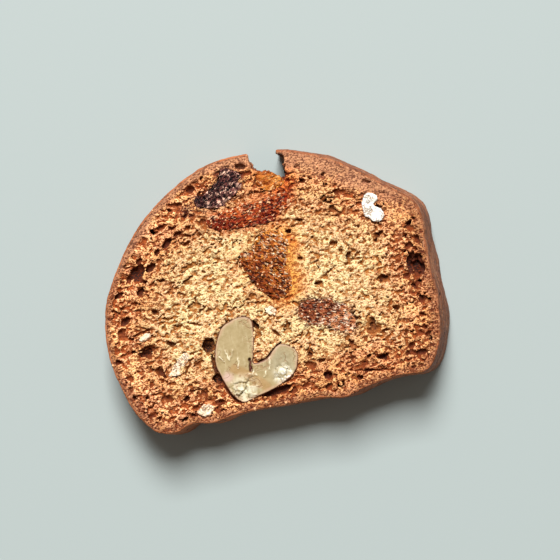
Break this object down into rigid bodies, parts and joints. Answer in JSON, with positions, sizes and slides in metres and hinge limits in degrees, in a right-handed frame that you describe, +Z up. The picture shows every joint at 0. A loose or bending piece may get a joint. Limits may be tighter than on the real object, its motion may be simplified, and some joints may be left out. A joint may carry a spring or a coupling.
{
  "type": "biscotti slice",
  "caption": "D-shaped slice of twice-baked biscuit with a walnut, dried fruit and nut bits showing at its cut faces, lying on one cut face.",
  "frame": {"origin": "on the surface that the slice lies on, under the middle of its footprint", "axes": "+Z up out of the upper cut face, +X along the flat base of the log, +Y towards the domed top of the log"},
  "size_m": [0.0628, 0.0476, 0.0111],
  "materials": {
    "crumb": "dry open crumb, golden inside and browned at the crust",
    "walnut": "smooth cut walnut kernel with a thin brown skin",
    "raisin": "sticky dark purple fruit",
    "cherry": "baked dark red fruit",
    "apricot": "baked amber fruit",
    "date": "baked red-brown fruit",
    "chip_apricot": "baked orange fruit",
    "white_nut": "chalky white nut",
    "pale_nut": "pale cut nut"
  },
  "bodies": {
    "root": {"crumb": "crumb", "walnut": "walnut", "raisin": "raisin", "cherry": "cherry", "apricot": "apricot", "date": "date", "chip_apricot": "chip_apricot", "white_nut": "white_nut", "left_sliver": "pale_nut", "middle_sliver": "pale_nut", "centre_bit": "pale_nut", "base_bit": "pale_nut"}
  },
  "joints": []
}
